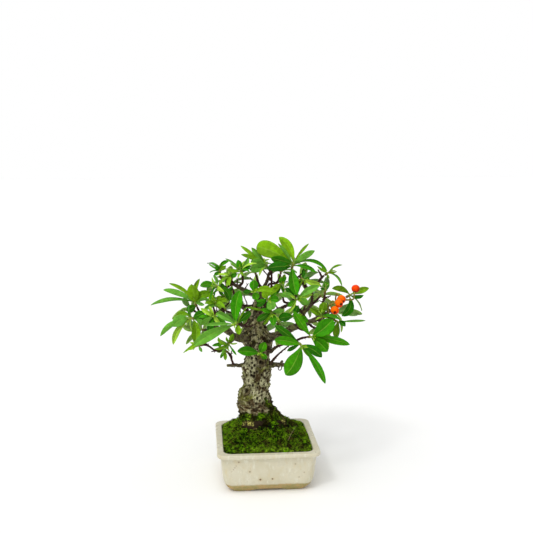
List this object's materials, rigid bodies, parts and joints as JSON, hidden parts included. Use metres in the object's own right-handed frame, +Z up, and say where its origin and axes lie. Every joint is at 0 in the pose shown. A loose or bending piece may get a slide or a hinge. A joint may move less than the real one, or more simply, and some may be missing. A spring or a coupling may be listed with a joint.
{
  "type": "narrowleaf firethorn bonsai",
  "caption": "Small firethorn bonsai with a thick pitted trunk, narrow leaves in whorls and orange berries, in a square cream glazed pot with moss.",
  "frame": {"origin": "on the surface the pot stands on, under the middle of the whole tree's outer box", "axes": "+Z up, the pictured front faces -Y, +X to the viewer's right"},
  "size_m": [0.1714, 0.1178, 0.196],
  "materials": {
    "pot_glaze": "satin cream glaze with pinholes, tan unglazed foot",
    "soil": "granular dark soil",
    "moss": "deep green moss carpet",
    "bark": "pale grey plates with dark round pits",
    "berry_red": "glossy skin",
    "berry_orange": "glossy skin",
    "leaf": "smooth leathery leaf, satin"
  },
  "bodies": {
    "root": {"pot": "pot_glaze", "soil": "soil", "moss": "moss", "wood": "bark", "berry_red": "berry_red", "berry_orange_upper": "berry_orange", "berry_orange_middle": "berry_orange", "berry_orange_lower": "berry_orange", "shoot_far_left": "leaf", "shoot_left_low": "leaf", "shoot_left_front": "leaf", "shoot_on_trunk": "leaf", "shoot_right_front": "leaf", "shoot_right_mid": "leaf", "shoot_berry": "leaf", "shoot_right_low": "leaf", "shoot_right_olive": "leaf", "shoot_right_top": "leaf", "shoot_top": "leaf", "shoot_top_left": "leaf", "shoot_left_top": "leaf", "shoot_left_arch": "leaf", "shoot_left_lime": "leaf", "shoot_left_inner": "leaf", "shoot_low_left": "leaf", "shoot_low_tip": "leaf", "shoot_stub_twig": "leaf", "shoot_upper_left": "leaf", "shoot_upper_left_low": "leaf", "shoot_left_fork": "leaf", "shoot_red_stalk": "leaf", "shoot_centre": "leaf", "shoot_centre_low": "leaf", "shoot_centre_right": "leaf", "shoot_right_grey": "leaf", "shoot_oval": "leaf", "shoot_twig_end": "leaf", "shoot_twig_low": "leaf", "shoot_back_a": "leaf", "shoot_back_b": "leaf", "shoot_back_c": "leaf", "shoot_back_d": "leaf", "shoot_back_e": "leaf", "shoot_back_f": "leaf", "shoot_back_g": "leaf", "shoot_back_h": "leaf", "shoot_back_i": "leaf", "shoot_back_j": "leaf", "shoot_back_k": "leaf", "shoot_back_l": "leaf", "shoot_back_m": "leaf", "shoot_back_n": "leaf", "shoot_back_o": "leaf", "shoot_back_p": "leaf", "shoot_back_q": "leaf"}
  },
  "joints": []
}
